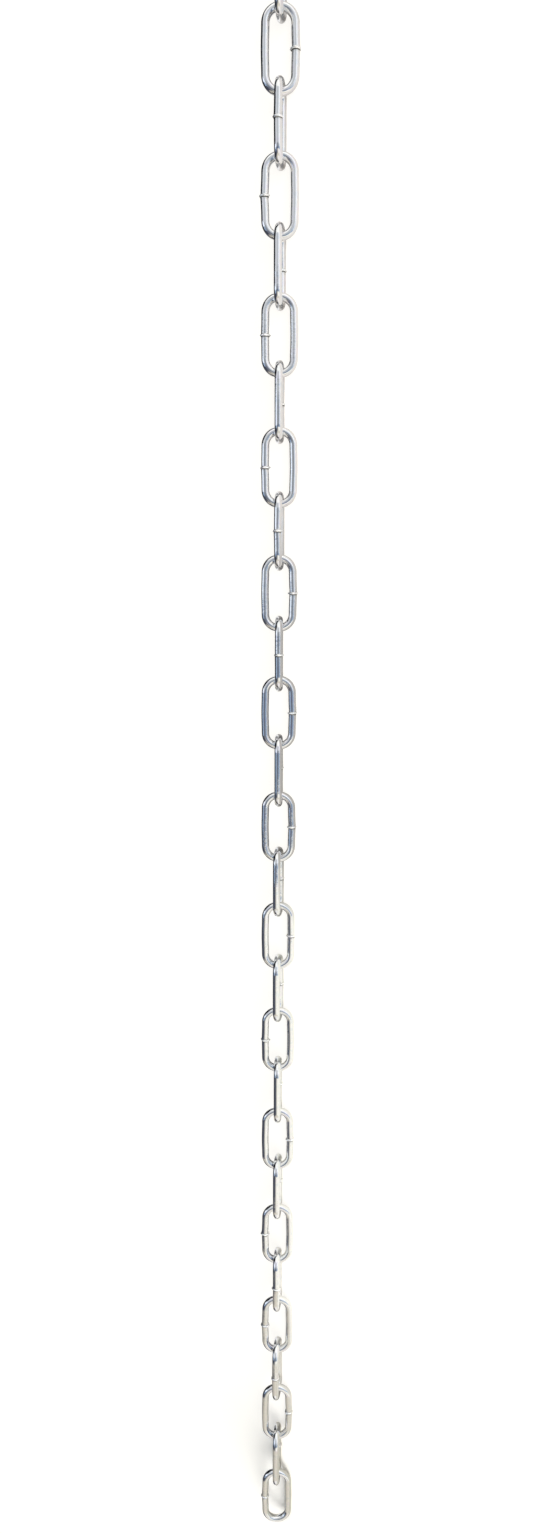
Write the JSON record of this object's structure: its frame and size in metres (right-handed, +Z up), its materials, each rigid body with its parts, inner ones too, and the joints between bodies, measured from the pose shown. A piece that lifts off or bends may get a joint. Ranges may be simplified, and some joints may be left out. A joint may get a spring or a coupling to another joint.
{
  "type": "long link chain",
  "caption": "Straight length of round-wire steel chain: long oval welded links, each hung through the next at a quarter turn and free to swing.",
  "frame": {"origin": "on the floor, under the middle of the chain", "axes": "+Y along the chain towards its first link, link_01; +Z up"},
  "size_m": [0.0157, 0.9778, 0.016],
  "materials": {
    "bright_zinc": "bright zinc plating on smooth drawn wire"
  },
  "bodies": {
    "link_01": {"link_01": "bright_zinc"},
    "link_02": {"link_02": "bright_zinc"},
    "link_03": {"link_03": "bright_zinc"},
    "link_04": {"link_04": "bright_zinc"},
    "link_05": {"link_05": "bright_zinc"},
    "link_06": {"link_06": "bright_zinc"},
    "link_07": {"link_07": "bright_zinc"},
    "link_08": {"link_08": "bright_zinc"},
    "link_09": {"link_09": "bright_zinc"},
    "link_10": {"link_10": "bright_zinc"},
    "link_11": {"link_11": "bright_zinc"},
    "link_12": {"link_12": "bright_zinc"},
    "link_13": {"link_13": "bright_zinc"},
    "link_14": {"link_14": "bright_zinc"},
    "link_15": {"link_15": "bright_zinc"},
    "link_16": {"link_16": "bright_zinc"},
    "link_17": {"link_17": "bright_zinc"},
    "link_18": {"link_18": "bright_zinc"},
    "link_19": {"link_19": "bright_zinc"},
    "link_20": {"link_20": "bright_zinc"},
    "link_21": {"link_21": "bright_zinc"},
    "link_22": {"link_22": "bright_zinc"},
    "link_23": {"link_23": "bright_zinc"},
    "link_24": {"link_24": "bright_zinc"},
    "link_25": {"link_25": "bright_zinc"},
    "link_26": {"link_26": "bright_zinc"},
    "link_27": {"link_27": "bright_zinc"},
    "link_28": {"link_28": "bright_zinc"}
  },
  "joints": [
    {"name": "swing_02", "type": "hinge", "parent": "link_01", "child": "link_02", "pos_m": [0, 0.4474, 0.00796], "axis": [-0.6494, 0, -0.7604], "range_deg": [-90, 90]},
    {"name": "swing_03", "type": "hinge", "parent": "link_02", "child": "link_03", "pos_m": [0, 0.4128, 0.00796], "axis": [0.6494, 0, -0.7604], "range_deg": [-90, 90]},
    {"name": "swing_04", "type": "hinge", "parent": "link_03", "child": "link_04", "pos_m": [0, 0.3782, 0.00796], "axis": [0.6494, 0, 0.7604], "range_deg": [-90, 90]},
    {"name": "swing_05", "type": "hinge", "parent": "link_04", "child": "link_05", "pos_m": [0, 0.3436, 0.00796], "axis": [-0.6494, 0, 0.7604], "range_deg": [-90, 90]},
    {"name": "swing_06", "type": "hinge", "parent": "link_05", "child": "link_06", "pos_m": [0, 0.309, 0.00796], "axis": [-0.6494, 0, -0.7604], "range_deg": [-90, 90]},
    {"name": "swing_07", "type": "hinge", "parent": "link_06", "child": "link_07", "pos_m": [0, 0.2744, 0.00796], "axis": [0.6494, 0, -0.7604], "range_deg": [-90, 90]},
    {"name": "swing_08", "type": "hinge", "parent": "link_07", "child": "link_08", "pos_m": [0, 0.2398, 0.00796], "axis": [0.7009, 0, 0.7133], "range_deg": [-90, 90]},
    {"name": "swing_09", "type": "hinge", "parent": "link_08", "child": "link_09", "pos_m": [0, 0.2052, 0.00796], "axis": [-0.6494, 0, 0.7604], "range_deg": [-90, 90]},
    {"name": "swing_10", "type": "hinge", "parent": "link_09", "child": "link_10", "pos_m": [0, 0.1706, 0.00796], "axis": [-0.6884, 0, -0.7254], "range_deg": [-90, 90]},
    {"name": "swing_11", "type": "hinge", "parent": "link_10", "child": "link_11", "pos_m": [0, 0.136, 0.00796], "axis": [0.6494, 0, -0.7604], "range_deg": [-90, 90]},
    {"name": "swing_12", "type": "hinge", "parent": "link_11", "child": "link_12", "pos_m": [0, 0.1014, 0.00796], "axis": [0.7373, 0, 0.6756], "range_deg": [-90, 90]},
    {"name": "swing_13", "type": "hinge", "parent": "link_12", "child": "link_13", "pos_m": [0, 0.0668, 0.00796], "axis": [-0.6494, 0, 0.7604], "range_deg": [-90, 90]},
    {"name": "swing_14", "type": "hinge", "parent": "link_13", "child": "link_14", "pos_m": [0, 0.0322, 0.00796], "axis": [-0.7254, 0, -0.6884], "range_deg": [-90, 90]},
    {"name": "swing_15", "type": "hinge", "parent": "link_14", "child": "link_15", "pos_m": [0, -0.0024, 0.00796], "axis": [0.6494, 0, -0.7604], "range_deg": [-90, 90]},
    {"name": "swing_16", "type": "hinge", "parent": "link_15", "child": "link_16", "pos_m": [0, -0.037, 0.00796], "axis": [0.6494, 0, 0.7604], "range_deg": [-90, 90]},
    {"name": "swing_17", "type": "hinge", "parent": "link_16", "child": "link_17", "pos_m": [0, -0.0716, 0.00796], "axis": [-0.6494, 0, 0.7604], "range_deg": [-90, 90]},
    {"name": "swing_18", "type": "hinge", "parent": "link_17", "child": "link_18", "pos_m": [0, -0.1062, 0.00796], "axis": [-0.6494, 0, -0.7604], "range_deg": [-90, 90]},
    {"name": "swing_19", "type": "hinge", "parent": "link_18", "child": "link_19", "pos_m": [0, -0.1408, 0.00796], "axis": [0.6494, 0, -0.7604], "range_deg": [-90, 90]},
    {"name": "swing_20", "type": "hinge", "parent": "link_19", "child": "link_20", "pos_m": [0, -0.1754, 0.00796], "axis": [0.7133, 0, 0.7009], "range_deg": [-90, 90]},
    {"name": "swing_21", "type": "hinge", "parent": "link_20", "child": "link_21", "pos_m": [0, -0.21, 0.00796], "axis": [-0.6494, 0, 0.7604], "range_deg": [-90, 90]},
    {"name": "swing_22", "type": "hinge", "parent": "link_21", "child": "link_22", "pos_m": [0, -0.2446, 0.00796], "axis": [-0.6756, 0, -0.7373], "range_deg": [-90, 90]},
    {"name": "swing_23", "type": "hinge", "parent": "link_22", "child": "link_23", "pos_m": [0, -0.2792, 0.00796], "axis": [0.6494, 0, -0.7604], "range_deg": [-90, 90]},
    {"name": "swing_24", "type": "hinge", "parent": "link_23", "child": "link_24", "pos_m": [0, -0.3138, 0.00796], "axis": [0.6756, 0, 0.7373], "range_deg": [-90, 90]},
    {"name": "swing_25", "type": "hinge", "parent": "link_24", "child": "link_25", "pos_m": [0, -0.3484, 0.00796], "axis": [-0.6494, 0, 0.7604], "range_deg": [-90, 90]},
    {"name": "swing_26", "type": "hinge", "parent": "link_25", "child": "link_26", "pos_m": [0, -0.383, 0.00796], "axis": [-0.6494, 0, -0.7604], "range_deg": [-90, 90]},
    {"name": "swing_27", "type": "hinge", "parent": "link_26", "child": "link_27", "pos_m": [0, -0.4176, 0.00796], "axis": [0.6494, 0, -0.7604], "range_deg": [-90, 90]},
    {"name": "swing_28", "type": "hinge", "parent": "link_27", "child": "link_28", "pos_m": [0, -0.4522, 0.00796], "axis": [0.6884, 0, 0.7254], "range_deg": [-90, 90]}
  ]
}
